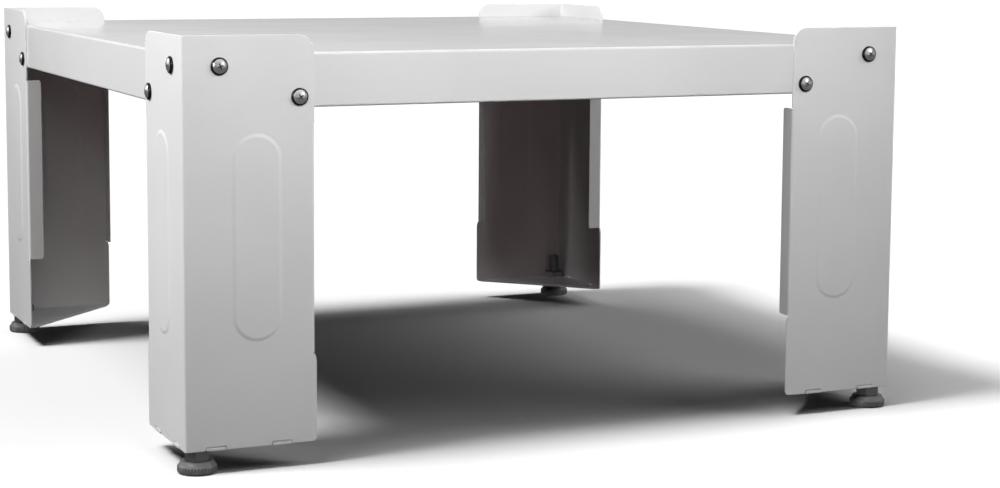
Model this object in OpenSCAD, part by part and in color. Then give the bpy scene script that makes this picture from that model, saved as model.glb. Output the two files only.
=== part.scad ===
// Raised stand for a front-loading laundry machine: a pressed steel deck screwed
// between four angle legs, each on a levelling foot with a lock nut.
// The origin is on the floor below the middle of the deck. X runs left to right,
// Y from front to back and Z up.

/* [Stand] */
// Overall width over the leg walls, left to right
stand_w = 604; // [480:1:900]
// Overall depth over the leg walls, front to back
stand_d = 628; // [480:1:900]
// Height of a leg from its lower edge to the top of its lips
leg_h = 300; // [260:1:450]
// How far the legs stand above the deck as lips
lip_h = 13; // [6:0.5:25]

/* [Legs] */
// Thickness of the leg sheet
leg_t = 1.5; // [1:0.1:2.5]
// Inside radius of the bends in the legs
leg_bend_r = 1; // [0.5:0.1:2]
// Width of a leg wall at its foot, from the outer corner
wall_w = 100; // [96:1:130]
// How much narrower the wall is where its edge is bent or cut back
wall_step = 1.2; // [0:0.1:3]
// Length of the slope from the wide foot of the wall to the bent edge
wall_step_l = 5; // [2:0.5:12]
// Depth of the flange bent inwards from the free edge of a wall
flange_d = 14; // [8:0.5:20]
// Height of the lower end of the flange above the foot of the wall
flange_low = 66; // [40:1:100]
// Height of the upper end of the flange above the foot of the wall
flange_high = 235; // [150:1:240]
// Radius of the corners at the flange's free edge
flange_corner_r = 2; // [0.5:0.5:4]
// Radius of the lip's upper corner
lip_r = 12; // [4:0.5:20]
// Radius of the wall's lower corner
toe_r = 3.5; // [1:0.5:8]

/* [Raised panels] */
// Distance of a raised panel's centre line from the outer corner
panel_u = 55; // [50:1:60]
// Width of a raised panel
panel_w = 37; // [20:1:44]
// Height of a raised panel's lower end above the foot of the wall
panel_low = 78; // [50:1:100]
// Height of a raised panel's upper end above the foot of the wall
panel_high = 229; // [150:1:235]
// How far a raised panel stands out from the wall
panel_rise = 1; // [0.3:0.1:1.2]
// Width of the slope round a raised panel
panel_slope = 2.5; // [1:0.1:5]

/* [Deck] */
// Thickness of the deck sheet
deck_t = 1.5; // [1:0.1:2.5]
// Inside radius of the bends in the deck
deck_bend_r = 1.5; // [0.5:0.1:3]
// Height of the deck's skirts
skirt_h = 40; // [38:1:60]
// Width of the hem turned inwards at the foot of the skirts
hem_w = 7; // [5:0.5:20]
// How far the skirts stop short of the deck's corners
skirt_relief = 4; // [3:0.5:10]
// How far the hems stop short of the deck's corners
hem_relief = 13; // [11:0.5:30]

/* [Stiffening channels] */
// Distance of each channel's centre line from the middle of the deck
channel_y = 150; // [60:1:170]
// Width of a channel's floor
channel_w = 50; // [30:1:100]
// Depth of a channel below the deck sheet
channel_h = 22; // [10:1:30]
// Width of the flanges welded to the deck sheet
channel_flange = 15; // [8:1:30]
// Thickness of the channel sheet
channel_t = 1.5; // [1:0.1:2.5]
// Gap between a channel's end and the bend of the deck's side
channel_gap = 7; // [2:0.5:20]

/* [Deck screws] */
// Thread diameter of a deck screw
screw_d = 6; // [5:0.5:6]
// Diameter of a screw's head
screw_head_d = 13; // [11:0.5:14]
// Height of a screw's head
screw_head_h = 3.6; // [2.5:0.1:4.5]
// Height of the upright edge of a screw's head
screw_edge_h = 1.2; // [0.4:0.1:2]
// Width of a slot of the cross recess
recess_w = 1.3; // [0.8:0.1:2]
// Length of a slot of the cross recess
recess_l = 6.6; // [4:0.1:8]
// Depth of the cross recess
recess_h = 2; // [1:0.1:2.2]
// How far a screw reaches out of its nut
screw_tail = 1; // [0.5:0.5:5]
// Clearance round a screw in its hole
screw_clear = 0.2; // [0.1:0.05:0.5]
// Distance of the upper screws from the outer corner
upper_screw_u = 27.5; // [24:0.5:40]
// Distance of the lower screws from the free edge of the wall
lower_screw_edge = 12.5; // [12:0.5:40]
// Drop of the upper screws below the top of the leg
upper_screw_drop = 22; // [22:0.5:30]
// Drop of the lower screws below the top of the leg
lower_screw_drop = 45; // [36:0.5:45]
// Width across flats of a deck nut
deck_nut_af = 10; // [9:0.5:10]
// Height of a deck nut
deck_nut_h = 5; // [3:0.5:6]

/* [Bottom plates] */
// Thickness of a bottom plate
plate_t = 2; // [1.5:0.1:4]
// Gap between a bottom plate and the leg walls
plate_gap = 0.2; // [0.1:0.05:0.5]
// Length of the blunt ends of a bottom plate's long edge
plate_tip = 3; // [1:0.5:8]
// Width of a tab on a bottom plate
tab_w = 14.4; // [8:0.1:18]
// Distance of the first tab's middle from the outer corner
tab_near_u = 23; // [18:0.5:30]
// Distance of the second tab's middle from the free edge of the wall
tab_far_edge = 27; // [20:0.5:40]
// Gap at each side of a tab in its notch
tab_side_gap = 0.3; // [0.1:0.1:0.8]
// Gap above a tab in its notch
tab_top_gap = 0.5; // [0.1:0.1:0.9]

/* [Levelling feet] */
// Distance of a foot's axis from the outer faces of its leg
foot_inset = 12; // [12:0.5:20]
// Diameter of the threaded stud
stud_d = 10; // [8:0.5:10]
// Length of the threaded stud
stud_l = 40; // [36:1:70]
// Chamfer at the stud's upper end
stud_chamfer = 1; // [0.2:0.1:2]
// Radial clearance of the stud in its nuts and in the base
stud_clear = 0.05; // [0.02:0.01:0.1]
// Radial clearance of the stud in the hole of the bottom plate
plate_clear = 0.5; // [0.2:0.1:1]
// Height of the nut welded to the bottom plate
weld_nut_h = 6; // [4:0.5:8]
// Width across flats of the weld nut and the lock nut
foot_nut_af = 17; // [14:0.5:17]
// Height of the lock nut
lock_nut_h = 8; // [5:0.5:10]
// Turn of the lock nut about the stud
lock_nut_turn = 10; // [0:1:59]
// Gap between the plate, the lock nut and the base
foot_gap = 0.25; // [0.2:0.05:0.5]
// Height of a foot's base
base_h = 9; // [7:0.5:14]
// Diameter over the ribbed rim of the base
base_d = 29; // [26:0.5:36]
// Height of the ribbed rim
rim_h = 5.6; // [4:0.1:6]
// Radius of the lower edge of the rim
rim_edge_r = 2; // [0.5:0.1:3]
// Height of the shoulder's lower slope
shoulder_h = 1.2; // [0.5:0.1:1.4]
// Diameter of the shoulder above its lower slope
shoulder_d = 26; // [22:0.5:26]
// Diameter of the base's upper face
base_top_d = 24.6; // [19:0.2:25]
// Thickness of the base below the stud
base_floor = 3; // [2:0.5:4]
// Number of grooves round the rim
groove_count = 36; // [12:1:48]
// Radius of a groove
groove_r = 0.7; // [0.3:0.1:0.9]
// Depth of a groove
groove_depth = 0.45; // [0.1:0.05:0.6]

/* [Hidden] */
$fn = 48;

// A cut runs this far past the face it starts from
cut = 1;

// Legs
leg_z = base_h + lock_nut_h + 2 * foot_gap;
leg_bend_out = leg_bend_r + leg_t;
wall_edge = wall_w - wall_step;
panel_run = panel_high - panel_low - panel_w;
notch_w = tab_w + 2 * tab_side_gap;
notch_h = plate_t + tab_top_gap;
tab_far_u = wall_w - tab_far_edge;
lower_screw_u = wall_w - lower_screw_edge;

// Deck
deck_x = stand_w / 2 - leg_t;
deck_y = stand_d / 2 - leg_t;
deck_z = leg_z + leg_h - lip_h;
deck_bend_out = deck_bend_r + deck_t;

// Deck screws: the stack is what a screw holds together
stack = leg_t + deck_t;
screw_hole_r = screw_d / 2 + screw_clear;
head_dome = screw_head_h - screw_edge_h;
head_sphere_r = (pow(screw_head_d / 2, 2) + pow(head_dome, 2)) / (2 * head_dome);

// Feet: heights are taken from the lower edge of the leg
stud_r = stud_d / 2;
stud_low = base_floor + foot_gap;

// Places what is drawn for the front left corner at one of the four corners.
// The drawing has the leg's outer corner at its origin, at the leg's lower edge.
module at_corner(right, rear) {
    mirror([right, 0, 0]) mirror([0, rear, 0])
        translate([-stand_w / 2, -stand_d / 2, leg_z]) children();
}

// Repeats what is drawn for the front wall of a leg on its side wall
module on_both_walls() {
    children();
    mirror([1, -1, 0]) children();
}

// Places a screw's parts at the four screws of a corner, with +Z outwards
module at_screws() {
    on_both_walls() {
        translate([upper_screw_u, 0, leg_h - upper_screw_drop]) rotate([90, 0, 0]) children();
        translate([lower_screw_u, 0, leg_h - lower_screw_drop]) rotate([90, 0, 0]) children();
    }
}

// Quarter ring below and left of its centre, the section of a bend
module bend_section(inner_r, sheet_t) {
    outer_r = inner_r + sheet_t;
    intersection() {
        difference() {
            circle(outer_r);
            circle(inner_r);
        }
        translate([-outer_r, -outer_r]) square(outer_r);
    }
}

// Pad with sloping sides and round ends, raised along +Z
module raised_pad(base_r, top_r, rise, run) {
    section = [[0, 0], [base_r, 0], [top_r, rise], [0, rise]];
    translate([0, run / 2, 0]) rotate_extrude(angle = 180) polygon(section);
    translate([0, -run / 2, 0]) rotate([0, 0, 180]) rotate_extrude(angle = 180) polygon(section);
    translate([0, run / 2, 0]) rotate([90, 0, 0]) linear_extrude(run)
        polygon([[-base_r, 0], [base_r, 0], [top_r, rise], [-top_r, rise]]);
}

// Face of a leg wall from its corner bend to its free edge
module wall_outline() {
    difference() {
        union() {
            // wide foot with a rounded lower corner and a slope up to the bent edge
            translate([leg_bend_out, 0]) square([wall_w - toe_r - leg_bend_out, flange_low]);
            translate([wall_w - toe_r, toe_r]) circle(toe_r);
            polygon([
                [leg_bend_out, toe_r],
                [wall_w, toe_r],
                [wall_w, flange_low - wall_step_l],
                [wall_edge, flange_low],
                [leg_bend_out, flange_low]
            ]);
            // stretch whose edge is bent into the flange
            translate([leg_bend_out, 0]) square([wall_edge - 2 * leg_bend_out, flange_high]);
            // head with a rounded upper corner
            translate([leg_bend_out, flange_high])
                square([wall_edge - leg_bend_out, leg_h - lip_r - flange_high]);
            translate([leg_bend_out, flange_high])
                square([wall_edge - lip_r - leg_bend_out, leg_h - flange_high]);
            translate([wall_edge - lip_r, leg_h - lip_r]) circle(lip_r);
        }
        for (u = [tab_near_u, tab_far_u])
            translate([u - notch_w / 2, -cut]) square([notch_w, notch_h + cut]);
    }
}

// Flange on the free edge of a leg wall
module wall_flange() {
    flat_d = flange_d - leg_bend_out;
    translate([wall_edge - leg_bend_out, leg_bend_out, flange_low])
        linear_extrude(flange_high - flange_low) mirror([1, 0, 0]) bend_section(leg_bend_r, leg_t);
    translate([wall_edge - leg_t, leg_bend_out, flange_low]) rotate([90, 0, 90]) linear_extrude(leg_t) {
        run = flange_high - flange_low;
        square([flat_d - flange_corner_r, run]);
        translate([0, flange_corner_r]) square([flat_d, run - 2 * flange_corner_r]);
        for (v = [flange_corner_r, run - flange_corner_r])
            translate([flat_d - flange_corner_r, v]) circle(flange_corner_r);
    }
}

module leg() {
    panel_mid = (panel_low + panel_high) / 2;
    difference() {
        union() {
            on_both_walls() {
                translate([0, leg_t, 0]) rotate([90, 0, 0]) linear_extrude(leg_t) wall_outline();
                wall_flange();
                translate([panel_u, 0, panel_mid]) rotate([90, 0, 0])
                    raised_pad(panel_w / 2, panel_w / 2 - panel_slope, panel_rise, panel_run);
            }
            linear_extrude(leg_h) translate([leg_bend_out, leg_bend_out])
                bend_section(leg_bend_r, leg_t);
        }
        on_both_walls() {
            translate([panel_u, leg_t, panel_mid]) rotate([90, 0, 0])
                raised_pad(panel_w / 2, panel_w / 2 - panel_slope, panel_rise, panel_run);
        }
        at_screws() translate([0, 0, -leg_t - cut]) cylinder(h = leg_t + 2 * cut, r = screw_hole_r);
    }
}

// Section of a skirt with its upper bend, inwards along X from the outer face
module skirt_section() {
    translate([deck_bend_out, -deck_bend_out]) mirror([0, 1, 0]) bend_section(deck_bend_r, deck_t);
    translate([0, deck_bend_out - skirt_h]) square([deck_t, skirt_h - 2 * deck_bend_out]);
}

// Section of the lower bend and the hem at the foot of a skirt
module hem_section() {
    translate([deck_bend_out, deck_bend_out - skirt_h]) bend_section(deck_bend_r, deck_t);
    translate([deck_bend_out, -skirt_h]) square([hem_w - deck_bend_out, deck_t]);
}

// One side of the deck, along X, with its outer face at the origin and its top at Z = 0
module deck_side(length) {
    translate([-length / 2 + skirt_relief, 0, 0]) rotate([90, 0, 90])
        linear_extrude(length - 2 * skirt_relief) skirt_section();
    translate([-length / 2 + hem_relief, 0, 0]) rotate([90, 0, 90])
        linear_extrude(length - 2 * hem_relief) hem_section();
}

module deck() {
    color([0.84, 0.84, 0.84]) difference() {
        translate([0, 0, deck_z]) {
            translate([deck_bend_out - deck_x, deck_bend_out - deck_y, -deck_t])
                cube([2 * (deck_x - deck_bend_out), 2 * (deck_y - deck_bend_out), deck_t]);
            for (rear = [0, 1]) mirror([0, rear, 0]) translate([0, -deck_y, 0]) deck_side(2 * deck_x);
            for (right = [0, 1]) mirror([right, 0, 0]) mirror([1, -1, 0])
                translate([0, -deck_x, 0]) deck_side(2 * deck_y);
        }
        for (right = [0, 1], rear = [0, 1]) at_corner(right, rear) at_screws()
            translate([0, 0, -stack - cut]) cylinder(h = stack + cut, r = screw_hole_r);
    }
}

// Hat-shaped channel under the deck, front or rear by its side of the middle
module stiffening_channel(side) {
    length = 2 * (deck_x - deck_bend_out - channel_gap);
    inner_w = channel_w - 2 * channel_t;
    color([0.80, 0.80, 0.80])
        translate([-length / 2, side * channel_y, deck_z - deck_t])
            rotate([90, 0, 90]) linear_extrude(length) {
                translate([-channel_w / 2, -channel_h]) square([channel_w, channel_t]);
                for (s = [0, 1]) mirror([s, 0]) {
                    translate([inner_w / 2, -channel_h]) square([channel_t, channel_h]);
                    translate([inner_w / 2, -channel_t]) square([channel_flange + channel_t, channel_t]);
                }
            }
}

module bottom_plate() {
    face = leg_t + plate_gap;
    tip = wall_w - toe_r;
    linear_extrude(plate_t) difference() {
        union() {
            polygon([
                [face + leg_bend_r, face],
                [tip, face],
                [tip, face + plate_tip],
                [face + plate_tip, tip],
                [face, tip],
                [face, face + leg_bend_r]
            ]);
            on_both_walls() for (u = [tab_near_u, tab_far_u])
                translate([u - tab_w / 2, 0]) square([tab_w, face]);
        }
        translate([foot_inset, foot_inset]) circle(stud_r + plate_clear);
    }
}

// Hexagon nut with its corners turned off at both ends
module hex_nut(across, height, hole_r) {
    corner_r = across / sqrt(3);
    turned = corner_r - across / 2;
    drop = turned * tan(30);
    difference() {
        intersection() {
            cylinder(h = height, r = corner_r, $fn = 6);
            rotate_extrude() polygon([
                [0, 0], [across / 2, 0], [corner_r, drop],
                [corner_r, height - drop], [across / 2, height], [0, height]
            ]);
        }
        translate([0, 0, -cut]) cylinder(h = height + 2 * cut, r = hole_r);
    }
}

module weld_nut() {
    translate([foot_inset, foot_inset, plate_t]) hex_nut(foot_nut_af, weld_nut_h, stud_r + stud_clear);
}

module lock_nut() {
    translate([foot_inset, foot_inset, -foot_gap - lock_nut_h]) rotate([0, 0, lock_nut_turn])
        hex_nut(foot_nut_af, lock_nut_h, stud_r + stud_clear);
}

module foot_stud() {
    translate([foot_inset, foot_inset, stud_low - leg_z]) {
        cylinder(h = stud_l - stud_chamfer, r = stud_r);
        translate([0, 0, stud_l - stud_chamfer])
            cylinder(h = stud_chamfer, r1 = stud_r, r2 = stud_r - stud_chamfer);
    }
}

module foot_base() {
    rim_r = base_d / 2;
    translate([foot_inset, foot_inset, -leg_z]) difference() {
        rotate_extrude() {
            square([rim_r - rim_edge_r, rim_h]);
            translate([0, rim_edge_r]) square([rim_r, rim_h - rim_edge_r]);
            translate([rim_r - rim_edge_r, rim_edge_r]) circle(rim_edge_r);
            polygon([
                [0, rim_h], [rim_r, rim_h], [shoulder_d / 2, rim_h + shoulder_h],
                [base_top_d / 2, base_h], [0, base_h]
            ]);
        }
        translate([0, 0, base_floor]) cylinder(h = base_h, r = stud_r + stud_clear);
        for (i = [0 : groove_count - 1]) rotate([0, 0, i * 360 / groove_count])
            translate([rim_r + groove_r - groove_depth, 0, -cut]) cylinder(h = rim_h + cut, r = groove_r, $fn = 16);
    }
}

module deck_screw() {
    difference() {
        union() {
            rotate_extrude() intersection() {
                translate([0, screw_head_h - head_sphere_r]) circle(head_sphere_r);
                square([screw_head_d / 2, screw_head_h]);
            }
            length = stack + deck_nut_h + screw_tail;
            translate([0, 0, -length]) cylinder(h = length, r = screw_d / 2);
        }
        for (turn = [0, 90]) rotate([0, 0, turn])
            translate([-recess_l / 2, -recess_w / 2, screw_head_h - recess_h])
                cube([recess_l, recess_w, recess_h + cut]);
    }
}

module deck_nut() {
    translate([0, 0, -stack - deck_nut_h]) hex_nut(deck_nut_af, deck_nut_h, screw_d / 2 + stud_clear);
}

// Nodes of one corner
module corner_leg(right, rear) { color([0.82, 0.82, 0.82]) at_corner(right, rear) leg(); }
module corner_plate(right, rear) { color([0.78, 0.78, 0.78]) at_corner(right, rear) bottom_plate(); }
module corner_weld_nut(right, rear) { color([0.55, 0.55, 0.56]) at_corner(right, rear) weld_nut(); }
module corner_stud(right, rear) { color([0.60, 0.60, 0.61]) at_corner(right, rear) foot_stud(); }
module corner_base(right, rear) { color([0.32, 0.32, 0.33]) at_corner(right, rear) foot_base(); }
module corner_lock_nut(right, rear) { color([0.36, 0.36, 0.37]) at_corner(right, rear) lock_nut(); }
module corner_screws(right, rear) { color([0.70, 0.70, 0.71]) at_corner(right, rear) at_screws() deck_screw(); }
module corner_nuts(right, rear) { color([0.62, 0.62, 0.63]) at_corner(right, rear) at_screws() deck_nut(); }

deck();
stiffening_channel(-1);  // stiffening_channel_front
stiffening_channel(1);  // stiffening_channel_rear
corner_leg(0, 0);  // leg_front_left
corner_leg(1, 0);  // leg_front_right
corner_leg(0, 1);  // leg_rear_left
corner_leg(1, 1);  // leg_rear_right
corner_plate(0, 0);  // bottom_plate_front_left
corner_plate(1, 0);  // bottom_plate_front_right
corner_plate(0, 1);  // bottom_plate_rear_left
corner_plate(1, 1);  // bottom_plate_rear_right
corner_weld_nut(0, 0);  // weld_nut_front_left
corner_weld_nut(1, 0);  // weld_nut_front_right
corner_weld_nut(0, 1);  // weld_nut_rear_left
corner_weld_nut(1, 1);  // weld_nut_rear_right
corner_stud(0, 0);  // foot_stud_front_left
corner_stud(1, 0);  // foot_stud_front_right
corner_stud(0, 1);  // foot_stud_rear_left
corner_stud(1, 1);  // foot_stud_rear_right
corner_base(0, 0);  // foot_base_front_left
corner_base(1, 0);  // foot_base_front_right
corner_base(0, 1);  // foot_base_rear_left
corner_base(1, 1);  // foot_base_rear_right
corner_lock_nut(0, 0);  // lock_nut_front_left
corner_lock_nut(1, 0);  // lock_nut_front_right
corner_lock_nut(0, 1);  // lock_nut_rear_left
corner_lock_nut(1, 1);  // lock_nut_rear_right
corner_screws(0, 0);  // deck_screws_front_left
corner_screws(1, 0);  // deck_screws_front_right
corner_screws(0, 1);  // deck_screws_rear_left
corner_screws(1, 1);  // deck_screws_rear_right
corner_nuts(0, 0);  // deck_nuts_front_left
corner_nuts(1, 0);  // deck_nuts_front_right
corner_nuts(0, 1);  // deck_nuts_rear_left
corner_nuts(1, 1);  // deck_nuts_rear_right
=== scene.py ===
import math

import bmesh
import bpy
from mathutils import Matrix, Vector


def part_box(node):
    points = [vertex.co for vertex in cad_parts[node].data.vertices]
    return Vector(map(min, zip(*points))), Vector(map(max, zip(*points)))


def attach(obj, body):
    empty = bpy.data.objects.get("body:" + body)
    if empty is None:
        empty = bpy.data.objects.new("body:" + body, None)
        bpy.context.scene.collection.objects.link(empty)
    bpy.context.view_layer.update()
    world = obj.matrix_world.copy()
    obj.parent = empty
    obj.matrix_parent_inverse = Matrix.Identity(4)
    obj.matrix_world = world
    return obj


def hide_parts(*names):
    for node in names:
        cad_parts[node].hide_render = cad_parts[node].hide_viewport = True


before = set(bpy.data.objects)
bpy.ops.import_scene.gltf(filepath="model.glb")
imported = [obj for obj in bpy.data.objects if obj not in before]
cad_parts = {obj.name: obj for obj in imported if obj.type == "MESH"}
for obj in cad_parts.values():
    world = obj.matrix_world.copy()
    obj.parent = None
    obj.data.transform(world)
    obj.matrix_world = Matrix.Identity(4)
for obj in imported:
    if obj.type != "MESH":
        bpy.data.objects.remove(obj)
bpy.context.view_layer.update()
print("frame loaded:", len(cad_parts), "nodes")

mm = 0.001  # shapes are drawn in millimetres and written to their meshes in metres
hair = 1e-3  # places closer than this are taken as the same
sheetSteel = 1.5  # the deck, the legs and the channels are of one thickness

# Corners: which way a leg's walls run from its outer corner, along X and Y
corners = {
    "front_left": (1, 1),
    "front_right": (-1, 1),
    "rear_left": (1, -1),
    "rear_right": (-1, -1),
}

# Where the legs' outer faces and lower edges and the deck's top are, from the frame
stand = {
    "halfWidth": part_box("deck")[1].x / mm + sheetSteel,
    "halfDepth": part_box("deck")[1].y / mm + sheetSteel,
    "legBottom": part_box("leg_front_left")[0].z / mm,
    "deckTop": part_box("deck")[1].z / mm,
}

# The camera stands low in front of the stand, to its left; metres, degrees and millimetres of lens
shot = {
    "place": (-0.70878, -1.75665, 0.38552),
    "yaw": -24.375,
    "pitch": -6.488,
    "roll": 0.382,
    "lens": 75.8,
    "sensor": 36,
    "shiftY": -0.064,
    "farthest": 200,
}


def aimCamera():
    data = bpy.data.cameras.new("camera")
    data.lens = shot["lens"]
    data.sensor_width = shot["sensor"]
    data.shift_y = shot["shiftY"]
    data.clip_end = shot["farthest"]
    camera = bpy.data.objects.new("camera", data)
    bpy.context.scene.collection.objects.link(camera)
    turn = Matrix.Rotation(math.radians(shot["yaw"]), 4, "Z")
    turn = turn @ Matrix.Rotation(math.radians(90 + shot["pitch"]), 4, "X")
    turn = turn @ Matrix.Rotation(math.radians(shot["roll"]), 4, "Z")
    camera.matrix_world = Matrix.Translation(shot["place"]) @ turn
    bpy.context.scene.camera = camera


aimCamera()
print("camera aimed")


class Wire:  # a socket in a node tree; sums on wires add the Math nodes
    def __init__(self, tree, socket=None):
        self.tree, self.socket = tree, socket

    def node(self, kind, settings=None, inputs=None, output=0):
        made = self.tree.nodes.new("ShaderNode" + kind)
        for name, value in (settings or {}).items():
            setattr(made, name, value)
        for name, value in (inputs or {}).items():
            if isinstance(value, Wire):
                self.tree.links.new(value.socket, made.inputs[name])
            else:
                made.inputs[name].default_value = value
        return Wire(self.tree, made.outputs[output])

    def maths(self, operation, first, second):
        return self.node("Math", {"operation": operation}, {0: first, 1: second})

    def __add__(self, other):
        return self.maths("ADD", self, other)

    def __sub__(self, other):
        return self.maths("SUBTRACT", self, other)

    def __rsub__(self, other):
        return self.maths("SUBTRACT", other, self)

    def __mul__(self, other):
        return self.maths("MULTIPLY", self, other)

    __radd__, __rmul__ = __add__, __mul__

    def clamped(self):
        return self.maths("MINIMUM", self.maths("MAXIMUM", self, 0.0), 1.0)

    def between(self, low, high):  # 0 below low, 1 above high
        return self.node("MapRange", {"interpolation_type": "SMOOTHSTEP"},
                         {"Value": self, "From Min": low, "From Max": high})

    def blend(self, first, second):  # colours mixed by this wire
        return self.node("Mix", {"data_type": "RGBA"}, {0: self, 6: first, 7: second}, 2)


def newFinish(name):
    material = bpy.data.materials.new(name)
    material.use_nodes = True
    shader = next(n for n in material.node_tree.nodes if n.type == "BSDF_PRINCIPLED")
    wire = Wire(material.node_tree)
    spot = wire.node("TexCoord", output=3)  # Object coordinates
    return material, shader, wire, spot


def connect(shader, links):
    for name, value in links.items():
        if isinstance(value, Wire):
            value.tree.links.new(value.socket, shader.inputs[name])
        else:
            shader.inputs[name].default_value = value


def speckle(wire, spot, scale, detail=2.0, rough=0.5):
    return wire.node("TexNoise", None, {"Vector": spot, "Scale": scale, "Detail": detail, "Roughness": rough})


def bumpBy(wire, height, strength, distance):
    return wire.node("Bump", None, {"Height": height, "Strength": strength, "Distance": distance})


def tinted(shade, times):  # a shade made lighter or darker, with its alpha
    return tuple(min(1, c * times) for c in shade) + (1,)


# Powder coat: cured paint with a fine orange peel, faint cloudiness and a few specks
powderCoat = {
    "deck": {"shade": (0.800, 0.800, 0.802), "rough": 0.08, "peel": 0.05, "peelScale": 420.0},
    "leg": {"shade": (0.800, 0.800, 0.800), "rough": 0.34, "peel": 0.16, "peelScale": 520.0},
    "peelHeight": 0.0004, "peelRough": 0.03,
    "cloudScale": 9.0, "cloudEdges": (0.38, 0.62), "cloudRough": 0.05, "pale": 1.012, "deep": 0.978,
    "speckScale": 160.0, "speckEdges": (0.035, 0.075), "speckStrength": 0.05, "speckShade": (0.45, 0.44, 0.42, 1),
}


def makePowderCoat(name, look):
    s = powderCoat
    material, shader, wire, spot = newFinish(name)
    clouds = speckle(wire, spot, s["cloudScale"], 3.0)
    peel = speckle(wire, spot, look["peelScale"], 2.0, 0.45)
    specks = wire.node("TexVoronoi", {"feature": "F1"}, {"Vector": spot, "Scale": s["speckScale"], "Randomness": 1.0})
    dust = 1 - specks.between(*s["speckEdges"])
    deep, pale = tinted(look["shade"], s["deep"]), tinted(look["shade"], s["pale"])
    colour = clouds.between(*s["cloudEdges"]).blend(deep, pale)
    connect(shader, {
        "Base Color": (dust * s["speckStrength"]).blend(colour, s["speckShade"]),
        "Roughness": look["rough"] + clouds * s["cloudRough"] + peel * s["peelRough"],
        "Normal": bumpBy(wire, peel, look["peel"], s["peelHeight"]),
        "IOR": 1.5,
    })
    return material


# Metals: the stretch gives the grain its run along one axis
metals = {
    "zinc": {"shade": (0.36, 0.36, 0.37), "rough": 0.38, "stretch": (260, 260, 90), "bump": 0.12},
    # nickel's near-black colour, and the edges of its blend, go on a screw head's rim and recess: painted shade and a
    # painted dark reflection
    "nickel": {"shade": (0.80, 0.80, 0.81), "rough": 0.28, "stretch": (300, 300, 300), "bump": 0.05,
               "recess": (0.03, 0.03, 0.03, 1)},
    "darkZinc": {"shade": (0.24, 0.24, 0.245), "rough": 0.40, "stretch": (240, 240, 240), "bump": 0.12},
    "plain": {"shade": (0.36, 0.36, 0.37), "rough": 0.45, "stretch": (220, 220, 220), "bump": 0.15},
    "grainScale": 6.0, "grainHeight": 0.0002, "grainShare": 0.4, "grainRough": 0.06,
    "stainScale": 70.0, "stainEdges": (0.3, 0.7), "stainShare": 0.6, "stainRough": 0.12,
    "light": 1.10, "dark": 0.80, "recessEdges": (0.2, 0.9),
}


def makeMetal(name, look):
    s = metals
    material, shader, wire, spot = newFinish(name)
    stretched = wire.node("Mapping", None, {"Vector": spot, "Scale": look["stretch"]})
    grain = speckle(wire, stretched, s["grainScale"], 3.0)
    stain = speckle(wire, spot, s["stainScale"], 3.0)
    dark, light = tinted(look["shade"], s["dark"]), tinted(look["shade"], s["light"])
    mix = stain.between(*s["stainEdges"]) * s["stainShare"] + grain * s["grainShare"]
    colour = mix.blend(dark, light)
    if "recess" in look:  # the rim and the cross recess of a screw head are painted near-black by the piece's own attribute: painted shade and a painted dark reflection
        shadow = wire.node("Attribute", {"attribute_name": "shadow"}, output=2)
        colour = shadow.between(*s["recessEdges"]).blend(colour, look["recess"])
    connect(shader, {
        "Base Color": colour,
        "Metallic": 1.0,
        "Roughness": look["rough"] + stain * s["stainRough"] - grain * s["grainRough"],
        "Normal": bumpBy(wire, grain, look["bump"], s["grainHeight"]),
    })
    return material


# The feet's dark moulding, scuffed in places
moulding = {
    "shade": (0.084, 0.084, 0.087), "rough": 0.33, "worn": 1.7, "scuffScale": 120.0, "scuffEdges": (0.45, 0.75),
    "scuffRough": 0.15, "grainScale": 1500.0, "grainBump": 0.25, "grainHeight": 0.0002,
}


def makeMoulding(name):
    s = moulding
    material, shader, wire, spot = newFinish(name)
    grain = speckle(wire, spot, s["grainScale"], 2.0)
    scuff = speckle(wire, spot, s["scuffScale"], 4.0, 0.6)
    connect(shader, {
        "Base Color": scuff.between(*s["scuffEdges"]).blend(tinted(s["shade"], 1), tinted(s["shade"], s["worn"])),
        "Roughness": s["rough"] + scuff * s["scuffRough"],
        "Normal": bumpBy(wire, grain, s["grainBump"], s["grainHeight"]),
    })
    return material


deckPaint = makePowderCoat("deck paint", powderCoat["deck"])
legPaint = makePowderCoat("leg paint", powderCoat["leg"])
zinc = makeMetal("zinc plating", metals["zinc"])
nickel = makeMetal("nickel plating", metals["nickel"])
darkZinc = makeMetal("dark zinc", metals["darkZinc"])
plainSteel = makeMetal("plain steel", metals["plain"])
footMoulding = makeMoulding("foot moulding")
print("finishes mixed")


def vertsIn(geom):
    return [g for g in geom if isinstance(g, bmesh.types.BMVert)]


def edgesIn(geom):
    return [g for g in geom if isinstance(g, bmesh.types.BMEdge)]


def allOf(bm):
    return bm.verts[:] + bm.edges[:] + bm.faces[:]


def movedBy(x, y, z):
    return Matrix.Translation((x, y, z))


def turned(degrees, axis):
    return Matrix.Rotation(math.radians(degrees), 4, axis)


swapXY = Matrix(((0, 1, 0, 0), (1, 0, 0, 0), (0, 0, 1, 0), (0, 0, 0, 1)))


def atCorner(corner):  # from a drawing of the front left corner to the stand's frame
    sx, sy = corners[corner]
    move = movedBy(-sx * stand["halfWidth"], -sy * stand["halfDepth"], stand["legBottom"])
    return move @ Matrix.Diagonal((sx, sy, 1, 1))


def place(bm, matrix):  # a mirroring matrix turns a shape inside out, so its faces are turned back
    bmesh.ops.transform(bm, matrix=matrix, verts=bm.verts)
    if matrix.determinant() < 0:
        bmesh.ops.reverse_faces(bm, faces=bm.faces)


def take(bm, part, matrix):  # adds a finished part to a piece
    place(part, matrix)
    mesh = bpy.data.meshes.new("part")
    part.to_mesh(mesh)
    part.free()
    bm.from_mesh(mesh)
    bpy.data.meshes.remove(mesh)


def facingUp(face):
    if face.normal.z < 0:
        face.normal_flip()
    return face


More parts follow.
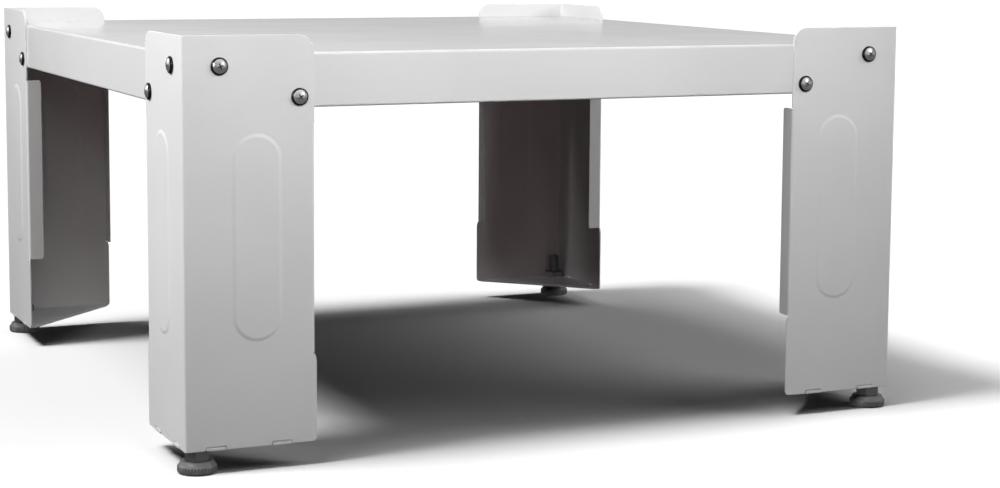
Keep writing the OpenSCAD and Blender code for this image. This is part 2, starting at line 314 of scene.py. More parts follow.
def sweep(bm, geom, centre, axis, degrees, steps, rise=0.0, closed=False):  # gives the last edges
    swept = bmesh.ops.spin(
        bm, geom=geom, cent=centre, axis=axis, dvec=(0, 0, rise), angle=math.radians(degrees), space=Matrix(),
        steps=steps, use_merge=closed, use_normal_flip=False, use_duplicate=False)
    return edgesIn(swept["geom_last"])


def pull(bm, edges, vec):  # draws a strip out of edges and gives its far points
    drawn = vertsIn(bmesh.ops.extrude_edge_only(bm, edges=edges)["geom"])
    bmesh.ops.translate(bm, vec=vec, verts=drawn)
    return drawn


def cut(bm, geom, at, normal, outer=False, near=1e-4):
    bmesh.ops.bisect_plane(bm, geom=geom, dist=near, plane_co=at, plane_no=normal, clear_outer=outer)


def roundCorners(bm, verts, radius, segments):
    bmesh.ops.bevel(
        bm, geom=verts, offset=radius, offset_type="OFFSET", affect="VERTICES",
        segments=segments, profile=0.5, material=-1, clamp_overlap=False)


def blank(bm, outline):  # a flat piece of sheet in XY; each point has x, y and its corner's radius
    verts = [bm.verts.new((x, y, 0)) for x, y, _ in outline]
    bm.faces.new(verts)
    radii = sorted({radius for _, _, radius in outline if radius})
    corner = {radius: [v for v, p in zip(verts, outline) if p[2] == radius] for radius in radii}
    for radius in radii:
        roundCorners(bm, corner[radius], radius, max(4, round(radius * 0.8)))
    bm.faces.ensure_lookup_table()
    return facingUp(bm.faces[0])


def disc(bm, x, y, radius, segments):
    verts = bmesh.ops.create_circle(
        bm, cap_ends=True, radius=radius, segments=segments,
        matrix=movedBy(x, y, 0) @ turned(180 / segments, "Z"))["verts"]
    face = next(iter(verts[0].link_faces))
    face.normal_update()
    return verts, facingUp(face)


def inset(bm, face, width, rise=0.0):
    bmesh.ops.inset_region(bm, faces=[face], thickness=width, depth=rise, use_even_offset=True, use_boundary=True)


def screwHole(bm, x, y, radius, margin=0.6, steps=28):  # a ring of faces round a cap, which comes out later
    face = disc(bm, x, y, radius + margin, steps)[1]
    inset(bm, face, margin)
    return face


def pressing(bm, s):  # a raised panel with round ends and soft creases
    low, high, width = s["panelLow"], s["panelHigh"], s["panelWidth"]
    middle, run = (low + high) / 2, high - low - width
    verts, face = disc(bm, s["panelAt"], middle, width / 2 + s["panelSoftness"], s["panelSteps"])
    for side in (-1, 1):
        half = [v for v in verts if (v.co.y - middle) * side > 0]
        bmesh.ops.translate(bm, vec=(0, side * run / 2, 0), verts=half)
    reach, rings, height = s["panelSlope"] + 2 * s["panelSoftness"], s["panelRings"], 0.0
    for k in range(rings):
        t = (k + 1) / rings
        now = s["panelRise"] * t * t * (3 - 2 * t)
        inset(bm, face, reach / rings, now - height)
        height = now


def fillRound(bm, sheet, outer, caps):  # the sheet's face is opened and filled up to the islands lying in it
    edges = list(sheet.edges) + [e for e in bm.edges if e.is_boundary and e not in outer]
    bmesh.ops.delete(bm, geom=[sheet], context="FACES_ONLY")
    bmesh.ops.triangle_fill(bm, use_beauty=True, use_dissolve=False, edges=edges, normal=(0, 0, 1))
    bmesh.ops.delete(bm, geom=caps, context="FACES")


def turnOut(bm, isOutward):  # normals made alike, then all turned if the widest face looks the wrong way
    bmesh.ops.recalc_face_normals(bm, faces=bm.faces)
    if not isOutward(max(bm.faces, key=lambda f: f.calc_area()).normal):
        bmesh.ops.reverse_faces(bm, faces=bm.faces)


def addPiece(name, bm, finish, body, slot, *stoodFor):
    for face in bm.faces:
        face.smooth = True
    bmesh.ops.scale(bm, vec=(mm, mm, mm), verts=bm.verts)
    mesh = bpy.data.meshes.new(name)
    bm.to_mesh(mesh)
    bm.free()
    mesh.materials.append(finish)
    piece = bpy.data.objects.new(name, mesh)
    bpy.context.scene.collection.objects.link(piece)
    if stoodFor:
        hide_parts(*stoodFor)
    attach(piece, body)
    return piece


def thicken(piece, sheet):  # inwards from the outer skin
    solid = piece.modifiers.new("sheet", "SOLIDIFY")
    solid.thickness = sheet * mm
    solid.offset = -1
    solid.use_even_offset = True
    solid.use_quality_normals = True


def soften(piece, width, degrees=35):  # breaks the edges sharper than this
    edge = piece.modifiers.new("edges", "BEVEL")
    edge.width = width * mm
    edge.segments = 2
    edge.limit_method = "ANGLE"
    edge.angle_limit = math.radians(degrees)
    edge.profile = 0.5
    edge.use_clamp_overlap = False
    shade = piece.modifiers.new("shading", "WEIGHTED_NORMAL")
    shade.keep_sharp = True


# Legs: the lengths of one wall, which is drawn flat and doubled round the leg's corner
leg = {
    "height": 300, "sheet": sheetSteel, "bend": 2.1, "bendSteps": 8, "cornerSteps": 4,
    "wall": 100, "wallStep": 1.2, "stepSlope": 5,
    "flangeDepth": 14, "flangeLow": 66, "flangeHigh": 235, "flangeCorner": 2, "relief": 0.5,
    "lipCorner": 12, "toeCorner": 3.5, "rimWidth": 0.6, "edgeSoftness": 0.3,
    "panelAt": 55, "panelWidth": 37, "panelLow": 78, "panelHigh": 229, "panelRise": 0.65,
    "panelSlope": 2.0, "panelSoftness": 0.8, "panelSteps": 56, "panelRings": 10,
    "notches": (23, 73), "notchWidth": 15.2, "notchHeight": 2.9,
    "screws": ((27.5, 278), (87.5, 255)), "screwHole": 3.2,
}


def wallOutline(edge, bendAt):
    s = leg
    points = [(s["bend"], 0, 0)]
    for at in s["notches"]:
        left, right = at - s["notchWidth"] / 2, at + s["notchWidth"] / 2
        points += [(left, 0, 0), (left, s["notchHeight"], 0), (right, s["notchHeight"], 0), (right, 0, 0)]
    points += [
        (s["wall"], 0, s["toeCorner"]),
        (s["wall"], s["flangeLow"] - s["stepSlope"], 0),
        (edge, s["flangeLow"] - s["relief"], 0),
        (bendAt, s["flangeLow"] - s["relief"], 0),
        (bendAt, s["flangeLow"], 0),
        (bendAt, s["flangeHigh"], 0),
        (bendAt, s["flangeHigh"] + s["relief"], 0),
        (edge, s["flangeHigh"] + s["relief"], 0),
        (edge, s["height"], s["lipCorner"]),
        (s["bend"], s["height"], 0),
    ]
    return points


def onUpright(edge, x, low, high):  # a free edge of the flat wall at x, between two heights
    return edge.is_boundary and all(
        abs(v.co.x - x) < hair and low - hair < v.co.y < high + hair and abs(v.co.z) < hair for v in edge.verts)


def makeWall(bm):  # outer skin of one wall, lying in XY with its outside up
    s = leg
    edge = s["wall"] - s["wallStep"]
    bendAt = edge - s["bend"]
    sheet = blank(bm, wallOutline(edge, bendAt))
    inset(bm, sheet, s["rimWidth"])
    outer = {e for e in bm.edges if e.is_boundary}
    caps = [screwHole(bm, x, y, s["screwHole"]) for x, y in s["screws"]]
    pressing(bm, s)
    fillRound(bm, sheet, outer, caps)
    # the flange is bent down from the free edge
    rim = [e for e in bm.edges if onUpright(e, bendAt, s["flangeLow"], s["flangeHigh"])]
    bent = sweep(bm, rim, (bendAt, 0, -s["bend"]), (0, 1, 0), 90, s["bendSteps"])
    verts = pull(bm, bent, (0, 0, s["bend"] - s["flangeDepth"]))
    tips = [v for v in verts if min(abs(v.co.y - s["flangeLow"]), abs(v.co.y - s["flangeHigh"])) < hair]
    roundCorners(bm, tips, s["flangeCorner"], 5)
    # half of the leg's corner bend
    corner = [e for e in bm.edges if onUpright(e, s["bend"], 0, s["height"])]
    sweep(bm, corner, (s["bend"], 0, -s["bend"]), (0, 1, 0), -45, s["cornerSteps"])


def makeLeg(corner):
    bm = bmesh.new()
    makeWall(bm)
    place(bm, turned(90, "X"))
    other = bmesh.ops.duplicate(bm, geom=allOf(bm))["geom"]
    bmesh.ops.transform(bm, matrix=swapXY, verts=vertsIn(other))
    bmesh.ops.remove_doubles(bm, verts=bm.verts, dist=0.02)
    turnOut(bm, lambda normal: normal.x + normal.y < 0)
    place(bm, atCorner(corner))
    piece = addPiece("pressed_leg_" + corner, bm, legPaint, "frame", "leg_paint", "leg_" + corner)
    thicken(piece, leg["sheet"])
    soften(piece, leg["edgeSoftness"])


for corner in corners:
    makeLeg(corner)
print("legs bent")


# Deck: a flat sheet with its four skirts folded down and their hems folded in
deck = {
    "sheet": sheetSteel, "bend": 2.2, "hemBend": 1.7, "skirt": 40, "hem": 7, "skirtRelief": 4, "hemRelief": 13,
    "bendSteps": 8, "edgeSoftness": 0.3,
}


def onSide(edge, axis, at, reach, level):  # a free edge at this place along the axis, and at this height
    return edge.is_boundary and all(
        abs(v.co[axis] - at) < hair and abs(v.co[1 - axis]) < reach + hair and abs(v.co.z - level) < hair
        for v in edge.verts)


def foldSkirt(bm, axis, side, half, other):
    s = deck
    face, low = half + s["bend"], s["hemBend"] - s["skirt"]
    turnAxis = (0, side, 0) if axis == 0 else (-side, 0, 0)
    centre, inward = [0, 0, -s["bend"]], [0, 0, 0]
    centre[axis] = side * half
    inward[axis] = side * (s["hemBend"] - s["hem"])
    rim = [e for e in bm.edges if onSide(e, axis, side * half, other + s["bend"] - s["skirtRelief"], 0)]
    pull(bm, sweep(bm, rim, centre, turnAxis, 90, s["bendSteps"]), (0, 0, low + s["bend"]))
    centre[2] = low
    centre[axis] = side * (face - s["hemBend"])
    hem = [e for e in bm.edges if onSide(e, axis, side * face, other + s["bend"] - s["hemRelief"], low)]
    pull(bm, sweep(bm, hem, centre, turnAxis, 90, s["bendSteps"]), inward)


def makeDeck():
    s = deck
    flatX = stand["halfWidth"] - sheetSteel - s["bend"]
    flatY = stand["halfDepth"] - sheetSteel - s["bend"]
    bm = bmesh.new()
    bmesh.ops.create_grid(bm, x_segments=1, y_segments=1, size=1)
    bmesh.ops.scale(bm, vec=(flatX, flatY, 1), verts=bm.verts)
    skirtEnd, hemEnd = s["skirtRelief"] - s["bend"], s["hemRelief"] - s["bend"]
    for axis, half in ((Vector((1, 0, 0)), flatX), (Vector((0, 1, 0)), flatY)):
        for at in (skirtEnd - half, hemEnd - half, half - hemEnd, half - skirtEnd):
            cut(bm, allOf(bm), axis * at, axis)
    for axis, half, other in ((0, flatX, flatY), (1, flatY, flatX)):
        for side in (-1, 1):
            foldSkirt(bm, axis, side, half, other)
    bmesh.ops.remove_doubles(bm, verts=bm.verts, dist=0.01)
    turnOut(bm, lambda normal: normal.z > 0)
    place(bm, movedBy(0, 0, stand["deckTop"]))
    piece = addPiece("pressed_deck", bm, deckPaint, "frame", "deck_paint", "deck")
    thicken(piece, s["sheet"])
    soften(piece, s["edgeSoftness"])


makeDeck()
print("deck folded")


def spun(profile, steps, closed=False):  # a turned shape; each point has a radius and a height
    bm = bmesh.new()
    verts = [bm.verts.new((radius, 0, height)) for radius, height in profile]
    ends = verts[1:] + verts[:1] if closed else verts[1:]
    edges = [bm.edges.new(pair) for pair in zip(verts, ends)]
    sweep(bm, verts + edges, (0, 0, 0), (0, 0, 1), 360, steps, closed=True)
    bmesh.ops.remove_doubles(bm, verts=bm.verts, dist=0.004)
    bmesh.ops.recalc_face_normals(bm, faces=bm.faces)
    return bm


def crease(bm, degrees):  # edges from this angle on are shaded sharp
    for edge in bm.edges:
        edge.smooth = len(edge.link_faces) == 2 and edge.calc_face_angle(0) < math.radians(degrees)


# Threads: the depth, and where the root ends and the crest begins and ends, as parts of the pitch
thread = {"depth": 0.61, "rootEnd": 0.25, "crestFrom": 0.5625, "crestTo": 0.6875, "creaseFrom": 30}


def threadedRod(radius, pitch, length, chamfer, steps):  # a right-hand thread with its foot at the origin
    bm = bmesh.new()
    root = radius - thread["depth"] * pitch
    turnProfile = ((root, 0), (root, thread["rootEnd"]), (radius, thread["crestFrom"]), (radius, thread["crestTo"]))
    profile = []
    for turn in range(-1, math.ceil(length / pitch) + 1):
        profile += [bm.verts.new((r, 0, (turn + part) * pitch)) for r, part in turnProfile]
    edges = [bm.edges.new(pair) for pair in zip(profile, profile[1:])]
    # the turn rises by one pitch, so its end meets the start of the next thread, and doubles close it
    sweep(bm, profile + edges, (0, 0, 0), (0, 0, 1), 360, steps, rise=pitch / steps)
    bmesh.ops.remove_doubles(bm, verts=bm.verts, dist=0.004)
    for height, way in ((0, -1), (length, 1)):
        cut(bm, allOf(bm), (0, 0, height), (0, 0, way), outer=True, near=0.002)
        rim = [e for e in bm.edges if e.is_boundary and all(abs(v.co.z - height) < 0.003 for v in e.verts)]
        bmesh.ops.holes_fill(bm, edges=rim, sides=0)
    for v in bm.verts:
        end = min(v.co.z, length - v.co.z)
        limit = radius - chamfer + max(0, end)
        size = math.hypot(v.co.x, v.co.y)
        if end < chamfer and size > limit:
            v.co.x *= limit / size
            v.co.y *= limit / size
    bmesh.ops.recalc_face_normals(bm, faces=bm.faces)
    crease(bm, thread["creaseFrom"])
    return bm


# Nuts: how far the round of each end face lies inside the flats, and where the corners of the blank begin
nuts = {"faceIn": 0.25, "cornerAt": 1}


def hexNut(across, height, bore, columns=72, sink=0.6):  # a turned blank, drawn in to the six flats
    flat = across / 2
    face = flat - nuts["faceIn"]
    corner, low = flat / math.cos(math.radians(30)), nuts["cornerAt"]
    bm = spun([(bore, sink), (bore + sink, 0), (face, 0), (corner, low), (corner, height - low),
               (face, height), (bore + sink, height), (bore, height - sink)], columns, closed=True)
    for v in bm.verts:
        if math.hypot(v.co.x, v.co.y) > flat:
            angle = math.degrees(math.atan2(v.co.y, v.co.x)) % 60
            reach = flat / math.cos(math.radians(angle - 30))
            drop = (reach - face) * math.tan(math.radians(30))
            level = drop if v.co.z < height / 2 else height - drop
            v.co = Vector((v.co.x, v.co.y, 0)).normalized() * reach
            v.co.z = level
    return bm


# Feet: heights above the floor; the base's sides go from the rim over the shoulder into the stud's well
foot = {
    "inset": 12, "bore": 5.05, "pitch": 1.5,
    "studRadius": 5, "studLow": 3.25, "studLength": 40, "studChamfer": 1, "studSteps": 48,
    "nutAcross": 17, "lockNutLow": 9.25, "lockNutHeight": 8, "lockNutTurn": 10, "weldNutHeight": 6,
    "nutSoftness": 0.18, "softFrom": 28,
    "soleRings": (0, 6, 11.5), "rimRadius": 14.5, "rimEdge": 2,
    "sides": ((14.5, 3.4), (14.5, 5.3), (14.25, 5.65), (13.3, 6.55), (12.92, 6.95), (12.42, 8.6), (12, 9),
              (9, 9), (5.55, 9), (5.05, 8.5), (5.05, 3), (0, 3)),
    "grooves": 36, "grooveRadius": 0.7, "grooveDepth": 0.45, "grooveTop": 5.8, "creaseFrom": 48,
}


def footAxis(corner):
    sx, sy = corners[corner]
    return movedBy(sx * (foot["inset"] - stand["halfWidth"]), sy * (foot["inset"] - stand["halfDepth"]), 0)


def makeStud(corner):
    s = foot
    bm = threadedRod(s["studRadius"], s["pitch"], s["studLength"], s["studChamfer"], s["studSteps"])
    place(bm, footAxis(corner) @ movedBy(0, 0, s["studLow"]))
    node = "foot_stud_" + corner
    addPiece("threaded_stud_" + corner, bm, zinc, node, "plated_steel", node)


def makeLockNut(corner):
    s = foot
    bm = hexNut(s["nutAcross"], s["lockNutHeight"], s["bore"])
    at = movedBy(s["inset"], s["inset"], s["lockNutLow"] - stand["legBottom"])
    place(bm, atCorner(corner) @ at @ turned(s["lockNutTurn"], "Z"))
    node = "lock_nut_" + corner
    piece = addPiece("hex_lock_nut_" + corner, bm, darkZinc, node, "dark_steel", node)
    soften(piece, s["nutSoftness"], s["softFrom"])


def makeWeldNut(corner):
    s = foot
    bm = hexNut(s["nutAcross"], s["weldNutHeight"], s["bore"])
    place(bm, atCorner(corner) @ movedBy(s["inset"], s["inset"], plate["sheet"]))
    piece = addPiece("welded_nut_" + corner, bm, plainSteel, "frame", "plain_steel", "weld_nut_" + corner)
    soften(piece, s["nutSoftness"], s["softFrom"])


def cutGrooves(bm):  # draws the rim's points in where a groove lies
    s = foot
    centre = s["rimRadius"] + s["grooveRadius"] - s["grooveDepth"]
    step = 360 / s["grooves"]
    for v in bm.verts:
        size = math.hypot(v.co.x, v.co.y)
        if size > s["rimRadius"] - s["rimEdge"] and v.co.z < s["grooveTop"]:
            angle = math.radians((math.degrees(math.atan2(v.co.y, v.co.x)) + step / 2) % step - step / 2)
            inside = s["grooveRadius"] ** 2 - (centre * math.sin(angle)) ** 2
            if inside > 0:
                reach = centre * math.cos(angle) - math.sqrt(inside)
                if reach < size:
                    v.co.x *= reach / size
                    v.co.y *= reach / size


def makeBase(corner):
    s = foot
    rim, edge = s["rimRadius"], s["rimEdge"]
    profile = [(radius, 0) for radius in s["soleRings"]]
    for k in range(7):  # a quarter round up to the rim
        angle = math.radians(15 * k)
        profile.append((rim - edge + edge * math.sin(angle), edge - edge * math.cos(angle)))
    bm = spun(profile + list(s["sides"]), s["grooves"] * 10)
    cutGrooves(bm)
    crease(bm, s["creaseFrom"])
    place(bm, footAxis(corner))
    node = "foot_base_" + corner
    addPiece("ribbed_base_" + corner, bm, footMoulding, node, "foot_moulding", node)


# Bottom plates: drawn at the front left corner, with their tabs in the leg's notches
plate = {
    "sheet": 2, "face": 1.7, "corner": 1, "tip": 96.5, "tipWidth": 3, "hole": 5.5, "holeSteps": 40,
    "tabWidth": 14.0, "tabProud": 0.5, "edgeSoftness": 0.2,
}


def makePlate(corner):
    s = plate
    face, tip = s["face"], s["tip"]
    along = [(face + s["corner"], face)]
    for at in leg["notches"]:
        left, right = at - s["tabWidth"] / 2, at + s["tabWidth"] / 2
        along += [(left, face), (left, -s["tabProud"]), (right, -s["tabProud"]), (right, face)]
    along += [(tip, face), (tip, face + s["tipWidth"])]
    bm = bmesh.new()
    sheet = blank(bm, [(x, y, 0) for x, y in along] + [(y, x, 0) for x, y in reversed(along)])
    outer = set(sheet.edges)
    hole = disc(bm, foot["inset"], foot["inset"], s["hole"], s["holeSteps"])[1]
    fillRound(bm, sheet, outer, [hole])
    turnOut(bm, lambda normal: normal.z > 0)
    place(bm, atCorner(corner) @ movedBy(0, 0, s["sheet"]))
    piece = addPiece("tabbed_plate_" + corner, bm, legPaint, "frame", "leg_paint", "bottom_plate_" + corner)
    thicken(piece, s["sheet"])
    soften(piece, s["edgeSoftness"])


# Weld beads: tacks that close the notches from inside, and three round the welded nut
beads = {
    "tackLength": 17, "tackWidth": 3.0, "tackIn": 2.8, "tackRise": 0.35, "tackRipples": 7,
    "nutTack": 6, "nutTackWidth": 2.8, "nutTackRise": 0.1, "nutTackRipples": 3, "nutGap": 0.2,
    "ripple": 0.12, "wobble": 0.06, "wobbleRate": 5, "taper": 0.35, "height": 0.75,
}


def weldBead(at, degrees, length, width, ripples):  # a rippled bead lying in XY
    s = beads
    bm = bmesh.new()
    bmesh.ops.create_uvsphere(bm, u_segments=18, v_segments=ripples * 6, radius=1)
    for v in bm.verts:
        along, size = v.co.z, math.hypot(v.co.x, v.co.y)
        wave = 1 + s["ripple"] * math.cos(along * ripples * math.pi)
        wave += s["wobble"] * math.sin(along * s["wobbleRate"] + at[0])
        spread = width / 2 * wave * (size ** -s["taper"] if size > 1e-4 else 0)
        v.co = Vector((along * length / 2, v.co.x * spread, v.co.y * spread * s["height"]))
    place(bm, movedBy(*at) @ turned(degrees, "Z"))
    return bm


def makeBeads(corner):
    s = beads
    bm = bmesh.new()
    level = plate["sheet"] + s["tackRise"]
    for at in leg["notches"]:
        for degrees, x, y in ((0, at, s["tackIn"]), (90, s["tackIn"], at)):
            tack = weldBead((x, y, level), degrees, s["tackLength"], s["tackWidth"], s["tackRipples"])
            take(bm, tack, Matrix())
    reach, level = foot["nutAcross"] / 2 + s["nutGap"], plate["sheet"] + s["nutTackRise"]
    for angle in (90, 210, 330):
        x = foot["inset"] + reach * math.cos(math.radians(angle))
        y = foot["inset"] + reach * math.sin(math.radians(angle))
        tack = weldBead((x, y, level), angle + 90, s["nutTack"], s["nutTackWidth"], s["nutTackRipples"])
        take(bm, tack, Matrix())
    place(bm, atCorner(corner))
    addPiece("weld_beads_" + corner, bm, legPaint, "frame", "leg_paint")


# Deck screws: drawn with the head outwards along Z and its seat at the origin; the rim goes up to the dome
screw = {
    "shank": 3, "pitch": 1, "length": 9, "chamfer": 0.6, "overlap": 0.1, "threadSteps": 28,
    "headHeight": 3.6, "sphere": 10.0, "headSteps": 40, "creaseFrom": 32,
    "rim": ((0, -0.2), (2.8, -0.2), (2.8, 0), (6.1, 0), (6.4, 0.1), (6.5, 0.35), (6.5, 0.8)),
    "rimDrop": (6.43, 0.12), "domeRings": (6.25, 5.9, 5.5, 5.25, 5.1, 4.7, 4.1, 3.5, 2.8, 2.0, 1.1, 0),
    "slotWidth": 0.9, "slotLength": 4.6, "slotDepth": 1.6, "slotTaper": 0.88, "slotCone": 0.3,
    # beyond this rim radius, and below this depth in the dome, the head is painted near-black: painted shade and a
    # painted dark reflection
    "crown": 2.2, "domeEdge": 6.4, "paintedShadeRim": 5.2, "paintedShadeDepth": 0.3,
    "nutAcross": 10, "nutHeight": 5, "nutBore": 3.05, "nutColumns": 36, "nutSink": 0.4, "nutSoftness": 0.15,
    "stack": 3,  # the sheets between a head and its nut
}


def domeHeight(radius):
    return screw["headHeight"] - screw["sphere"] + math.sqrt(screw["sphere"] ** 2 - radius ** 2)


def sinkRecess(bm):  # the cross recess: its outline is cut into the crown, then its faces are pushed in
    s = screw
    half, reach = s["slotWidth"] / 2, s["slotLength"] / 2
    for axis in (Vector((1, 0, 0)), Vector((0, 1, 0))):
        for at in (-reach, -half, half, reach):
            near = [f for f in bm.faces if f.calc_center_median().z > s["crown"]]
            geom = set(near) | {e for f in near for e in f.edges} | {v for f in near for v in f.verts}
            cut(bm, list(geom), axis * at, axis, near=0.001)
    slot = []
    for f in bm.faces:
        c = f.calc_center_median()
        a, b = sorted((abs(c.x), abs(c.y)))
        if c.z > s["crown"] and a < half and b < reach:
            slot.append(f)
    sunk = bmesh.ops.extrude_face_region(bm, geom=slot)["geom"]
    bmesh.ops.delete(bm, geom=[f for f in slot if f.is_valid], context="FACES")
    for v in vertsIn(sunk):
        v.co.z = s["headHeight"] - s["slotDepth"] + s["slotCone"] * math.hypot(v.co.x, v.co.y)
        v.co.x *= s["slotTaper"]
        v.co.y *= s["slotTaper"]
    bmesh.ops.remove_doubles(bm, verts=bm.verts, dist=0.002)
    bmesh.ops.recalc_face_normals(bm, faces=bm.faces)


def screwHead():
    s = screw
    radius, drop = s["rimDrop"]
    profile = list(s["rim"]) + [(radius, domeHeight(radius) - drop)]
    bm = spun(profile + [(r, domeHeight(r)) for r in s["domeRings"]], s["headSteps"])
    sinkRecess(bm)
    # the rim and the sunk recess are marked for the near-black paint: painted shade and a painted dark reflection
    shade = bm.verts.layers.float.new("shadow")
    for v in bm.verts:
        size = math.hypot(v.co.x, v.co.y)
        sunkBy = domeHeight(min(size, s["domeEdge"])) - v.co.z
        v[shade] = 1.0 if size > s["paintedShadeRim"] or sunkBy > s["paintedShadeDepth"] else 0.0
    crease(bm, s["creaseFrom"])
    return bm


def eachScrew(corner):  # where the four screws of a corner sit, and which way they look
    sx, sy = corners[corner]
    for u, z in leg["screws"]:
        for at, way in (((u, 0, z), (0, -sy, 0)), ((0, u, z), (-sx, 0, 0))):
            turn = Vector(way).to_track_quat("Z", "Y").to_matrix().to_4x4()
            yield Matrix.Translation(atCorner(corner) @ Vector(at)) @ turn


def makeScrews(corner):
    s = screw
    bm = bmesh.new()
    for k, seat in enumerate(eachScrew(corner)):
        twist = turned((k * 53 + len(corner) * 29) % 90, "Z")  # each head stops at an angle of its own
        take(bm, screwHead(), seat @ twist)
        rod = threadedRod(s["shank"], s["pitch"], s["length"] + s["overlap"], s["chamfer"], s["threadSteps"])
        take(bm, rod, seat @ movedBy(0, 0, -s["length"]))
    addPiece("cross_screws_" + corner, bm, nickel, "frame", "bright_plating", "deck_screws_" + corner)


def makeDeckNuts(corner):
    s = screw
    bm = bmesh.new()
    for seat in eachScrew(corner):
        nut = hexNut(s["nutAcross"], s["nutHeight"], s["nutBore"], s["nutColumns"], s["nutSink"])
        take(bm, nut, seat @ movedBy(0, 0, -s["stack"] - s["nutHeight"]))
    piece = addPiece("hex_deck_nuts_" + corner, bm, zinc, "frame", "plated_steel", "deck_nuts_" + corner)
    soften(piece, s["nutSoftness"], foot["softFrom"])


for corner in corners:
    makePlate(corner)
    makeWeldNut(corner)
    makeStud(corner)
    makeLockNut(corner)
    makeBase(corner)
    makeBeads(corner)
    makeScrews(corner)
    makeDeckNuts(corner)
print("feet and screws fitted")


# Stiffening channels: a folded section, drawn across Y with the deck's underside at Z = 0
channel = {"depth": 22, "half": 25, "flangeEnd": 40, "sheet": sheetSteel, "bend": 2.5, "edgeSoftness": 0.2}


def makeChannel(name):
    s = channel
    low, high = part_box("stiffening_channel_" + name)
    bm = bmesh.new()
    section = ((-s["flangeEnd"], -s["sheet"]), (-s["half"], -s["sheet"]), (-s["half"], -s["depth"]),
               (s["half"], -s["depth"]), (s["half"], -s["sheet"]), (s["flangeEnd"], -s["sheet"]))
    verts = [bm.verts.new((0, y, z)) for y, z in section]
    for pair in zip(verts, verts[1:]):
        bm.edges.new(pair)
    roundCorners(bm, verts[2:4], s["bend"], 6)
    roundCorners(bm, [verts[1], verts[4]], s["bend"] - s["sheet"], 5)
    pull(bm, bm.edges[:], ((high.x - low.x) / mm, 0, 0))
    turnOut(bm, lambda normal: normal.z < 0)
    place(bm, movedBy(low.x / mm, (low.y + high.y) / 2 / mm, high.z / mm))
    piece = addPiece("hat_channel_" + name, bm, deckPaint, "frame", "deck_paint", "stiffening_channel_" + name)
    thicken(piece, s["sheet"])
    soften(piece, s["edgeSoftness"])


for name in ("front", "rear"):
    makeChannel(name)
print("channels fitted")


# Studio: the camera sees a white floor and sky, the stand a dark floor and little sky
studio = {
    "floorSize": 120.0,
    "floorWhite": (1.0, 1.0, 1.0, 1),
    "floorBounce": (0.015, 0.0145, 0.0145, 1),  # what light the floor throws back at the stand
    "skyFill": 0.02,
    "skyGloss": 0.13,  # what shiny surfaces see in the floor and in most of the sky
    "skyEdge": 0.52,  # along the horizon
    "edgeTo": (5, 12),  # degrees above the horizon at which it fades
    "skyPanel": 0.95,  # and in a broad panel overhead
    "panelFrom": (22, 52),
}


def rayKinds(wire):  # seen by the camera, and seen in or through a surface
    isCamera = wire.node("LightPath", output=0)
    isGlossy = wire.node("LightPath", output=3)
    isThrough = wire.node("LightPath", output=6)
    return isCamera, (isGlossy + isThrough).clamped()


def makeFloor():
    bm = bmesh.new()
    bmesh.ops.create_grid(bm, x_segments=1, y_segments=1, size=studio["floorSize"] / 2)
    mesh = bpy.data.meshes.new("floor")
    bm.to_mesh(mesh)
    bm.free()
    floor = bpy.data.objects.new("floor", mesh)
    bpy.context.scene.collection.objects.link(floor)
    material = bpy.data.materials.new("studio floor")
    material.use_nodes = True
    tree = material.node_tree
    tree.nodes.clear()
    wire = Wire(tree)
    isCamera, isMirrored = rayKinds(wire)
    seen = wire.node("BsdfDiffuse", None, {"Color": studio["floorWhite"]})
    hidden = wire.node("BsdfDiffuse", None, {"Color": studio["floorBounce"]})
    mirrored = wire.node("Emission", None, {"Color": (1, 1, 1, 1), "Strength": studio["skyGloss"]})
    other = wire.node("MixShader", None, {0: isMirrored, 1: hidden, 2: mirrored})
    mixed = wire.node("MixShader", None, {0: isCamera, 1: other, 2: seen})
    out = tree.nodes.new("ShaderNodeOutputMaterial")
    tree.links.new(mixed.socket, out.inputs["Surface"])
    mesh.materials.append(material)
    return floor


def heights(degrees):  # angles above the horizon, as the sky's direction gives them
    return [math.sin(math.radians(at)) for at in degrees]


def makeSky():
    s = studio
    world = bpy.data.worlds.new("studio")
    bpy.context.scene.world = world
    world.use_nodes = True
    tree = world.node_tree
    tree.nodes.clear()
    wire = Wire(tree)
    isCamera, isMirrored = rayKinds(wire)
    direction = wire.node("TexCoord", output=0)
    height = wire.node("SeparateXYZ", None, {"Vector": direction}, 2)
    panel = height.between(*heights(s["panelFrom"]))
    edge = 1 - height.between(*heights(s["edgeTo"]))
    gloss = s["skyGloss"] + panel * (s["skyPanel"] - s["skyGloss"]) + edge * (s["skyEdge"] - s["skyGloss"])
    fill = s["skyFill"]
    strength = fill + isCamera * (1 - fill) + isMirrored * (gloss - fill)
    background = wire.node("Background", None, {"Color": (1, 1, 1, 1), "Strength": strength})
    out = tree.nodes.new("ShaderNodeOutputWorld")
    tree.links.new(background.socket, out.inputs["Surface"])


# Panels light the stand only; each has its place, the point it faces, its power and its size in metres
panels = {
    "backPanel": ((1.0, 1.9, 0.8), (0.1, 0.3, 0.17), 25.0, (1.8, 0.6)),
    "rightPanel": ((1.5, -0.5, 0.85), (0.3, -0.2, 0.2), 17.5, (1.6, 0.6)),
    "leftNear": ((-0.85, 0.0, 0.8), (-0.302, -0.5, 0.25), 7.0, (0.7, 0.25)),
    "leftFar": ((-2.2, -0.05, 1.3), (-0.3, 0.0, 0.17), 23.5, (1.5, 0.6)),
    "frontNear": ((-0.1, -0.68, 0.49), (-0.1, -0.31, 0.22), 2.3, (0.9, 0.15)),
    "frontLeft": ((-0.9, -0.9, 0.8), (-0.3, -0.3, 0.2), 1.4, (0.9, 0.4)),
    "frontLow": ((-0.4, -2.2, 0.45), (0.0, -0.3, 0.17), 0.5, (2.4, 0.8)),
}
# The lip lamp hangs over the deck and lights the legs only
lipLamps = {"lipLamp": ((0.15, 0.0, 0.62), (0.15, 0.0, 0.0), 1.3, (0.2, 0.3))}
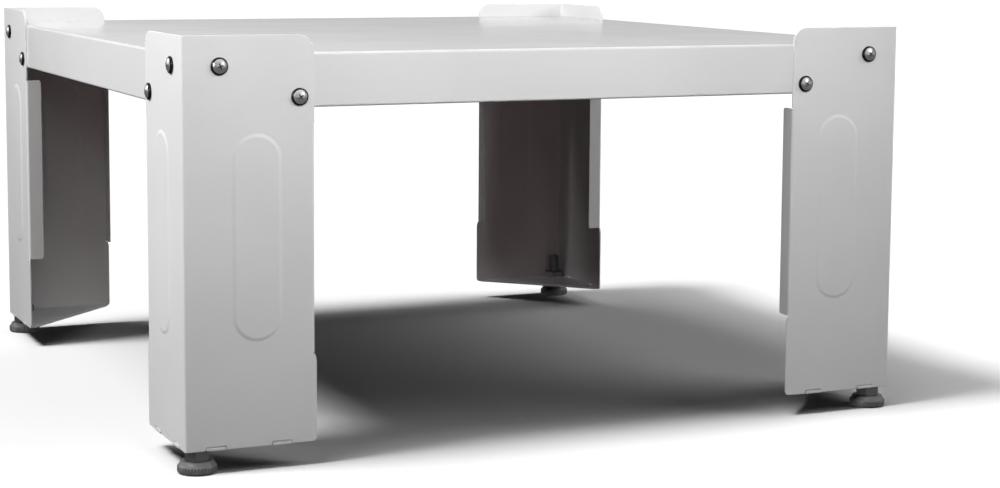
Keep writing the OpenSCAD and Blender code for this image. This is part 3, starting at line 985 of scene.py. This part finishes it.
# The rear fill shines low under the deck into the rear legs only, and has a tint of its own
rearLamps = {"rearFill": ((-0.3, -1.6, 0.08), (0.1, 0.3, 0.2), 1.15, (2.0, 0.15), (1.0, 0.5, 0.47))}
# Glints light the screws and the feet only, and are seen in them
glints = {
    "glintFront": ((1.0, -1.7, 1.0), (-0.1, -0.31, 0.27), 3.5, (0.7, 0.45)),
    "glintWide": ((1.0, -3.0, 1.0), (0.0, -0.31, 0.3), 10.0, (4.5, 2.0)),
    "glintBack": ((-1.3, 0.8, 0.75), (-0.3, -0.2, 0.27), 4.0, (0.5, 0.5)),
    "glintFeet": ((-0.95, -0.72, 0.58), (-0.29, -0.3, 0.01), 5.0, (0.35, 0.2)),
}
# Suns light the floor only, so that the stand's shadow lies on it; direction towards the sun, power, spread
suns = {
    "leftSun": ((-0.5, 0.0, 0.866), 2.15, 16),
    "topSun": ((-0.342, 0.0, 0.94), 1.0, 30),
    "rightSun": ((0.604, -0.22, 0.766), 0.64, 50),
}


def lightsOnly(name, state, things):  # a receiver list that takes in or leaves out these things
    group = bpy.data.collections.new(name)
    for thing in things:
        group.objects.link(thing)
    for entry in group.collection_objects:
        entry.light_linking.link_state = state
    return group


def addLamp(name, kind, power, direction, at, receivers, glossy=False):
    light = bpy.data.lights.new(name, kind)
    light.energy = power
    source = bpy.data.objects.new(name, light)
    bpy.context.scene.collection.objects.link(source)
    source.location = at
    source.rotation_mode = "QUATERNION"
    source.rotation_quaternion = Vector(direction).to_track_quat("Z", "Y")
    source.visible_camera = False
    source.visible_glossy = glossy
    source.light_linking.receiver_collection = receivers
    return light


def madeOf(*finishes):
    things = [o for o in bpy.context.scene.objects if o.type == "MESH"]
    return [o for o in things if any(m in finishes for m in o.data.materials)]


def makeLamps(floor):
    wholeStand = lightsOnly("all but the floor", "EXCLUDE", [floor])
    fittings = lightsOnly("screws and feet", "INCLUDE", madeOf(nickel, darkZinc, footMoulding))
    legs = lightsOnly("the legs only", "INCLUDE", madeOf(legPaint))
    rearLegs = lightsOnly("the rear legs only", "INCLUDE", [o for o in madeOf(legPaint) if "rear" in o.name])
    ground = lightsOnly("the floor only", "INCLUDE", [floor])
    sets = (
        (panels, wholeStand, False), (lipLamps, legs, False), (rearLamps, rearLegs, False), (glints, fittings, True))
    for lamps, receivers, glossy in sets:
        for name, (at, aim, power, size, *tint) in lamps.items():
            light = addLamp(name, "AREA", power, Vector(at) - Vector(aim), at, receivers, glossy)
            light.shape = "RECTANGLE"
            light.size, light.size_y = size
            if tint:
                light.color = tint[0]
    for name, (direction, power, spread) in suns.items():
        light = addLamp(name, "SUN", power, direction, Vector(direction) * 3, ground)
        light.angle = math.radians(spread)


floor = makeFloor()
makeSky()
makeLamps(floor)
bpy.context.scene.view_settings.view_transform = "Standard"
print("studio lit")
